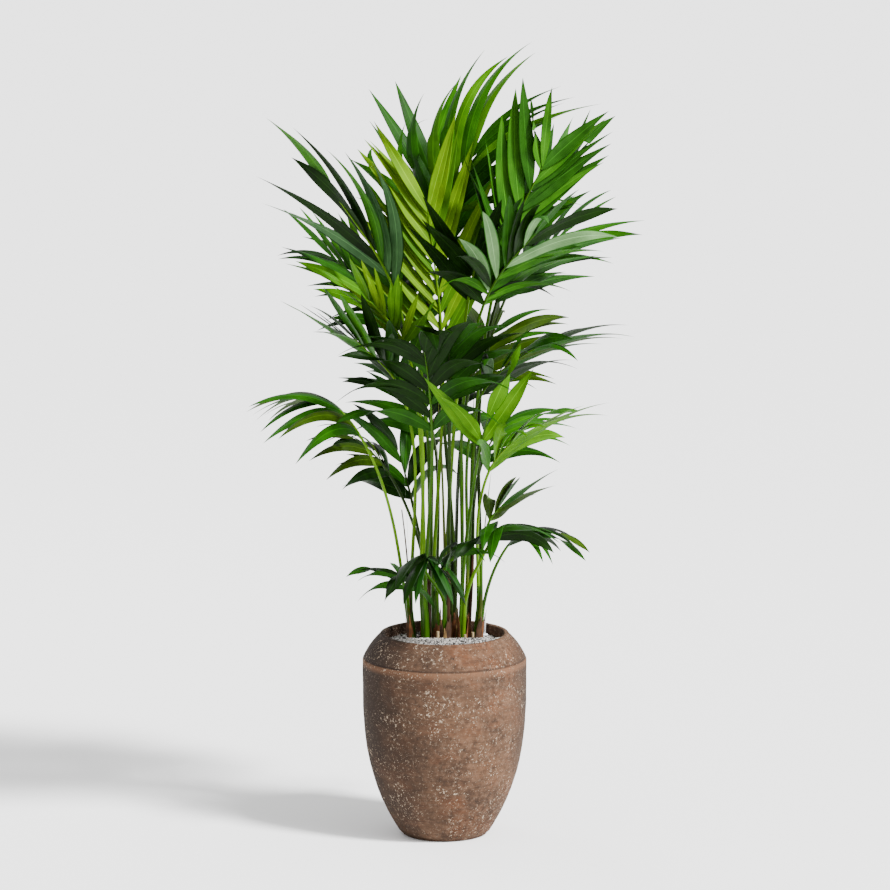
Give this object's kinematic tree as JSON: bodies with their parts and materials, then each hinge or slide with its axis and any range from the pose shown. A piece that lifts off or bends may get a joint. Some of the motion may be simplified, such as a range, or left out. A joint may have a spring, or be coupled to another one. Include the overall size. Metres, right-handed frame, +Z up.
{
  "type": "kentia palm with planter",
  "caption": "Kentia palm: a clump of sheathed stems with long-stalked arching fronds of lance-shaped leaflets, in a filled belly-shaped planter.",
  "frame": {"origin": "centre of the pot's flat underside", "axes": "+Z up, +X to the right of someone who stands in front, +Y away from them"},
  "size_m": [0.9636, 0.8169, 1.9315],
  "materials": {
    "terracotta": "matt, weathered",
    "soil": "matt, crumbly",
    "granulate": "matt, loose grains",
    "clear_tube": "gloss, clear",
    "sheath": "satin, fibrous",
    "leaf": "satin",
    "leaf_bright": "satin"
  },
  "bodies": {
    "root": {"pot": "terracotta", "growing_medium": "soil", "gravel": "granulate", "water_gauge": "clear_tube", "stem_left": "sheath", "stem_left_front": "sheath", "stem_left_back": "sheath", "stem_middle": "sheath", "stem_front": "sheath", "stem_back": "sheath", "stem_right_front": "sheath", "stem_right_back": "sheath", "stem_right": "sheath", "frond_bright": "leaf_bright", "frond_crest": "leaf", "frond_upper_left": "leaf", "frond_front_right": "leaf", "frond_front_crown": "leaf", "frond_upper_right": "leaf", "frond_right_high": "leaf", "frond_right_wide": "leaf", "frond_left_high": "leaf", "frond_left_wide": "leaf", "frond_left_young": "leaf_bright", "frond_front_dark": "leaf", "frond_front_middle": "leaf", "frond_right_low": "leaf", "frond_right_young": "leaf_bright", "frond_right_bright": "leaf_bright", "frond_left_arching": "leaf", "frond_left_drooping": "leaf", "frond_left_shaded": "leaf", "frond_back_high": "leaf", "frond_back_left": "leaf", "frond_back_right": "leaf", "frond_back_middle": "leaf", "frond_back_low": "leaf", "frond_low_right": "leaf", "frond_low_reaching": "leaf", "frond_low_hanging": "leaf", "frond_low_front": "leaf", "frond_low_middle": "leaf", "frond_low_left": "leaf"}
  },
  "joints": []
}
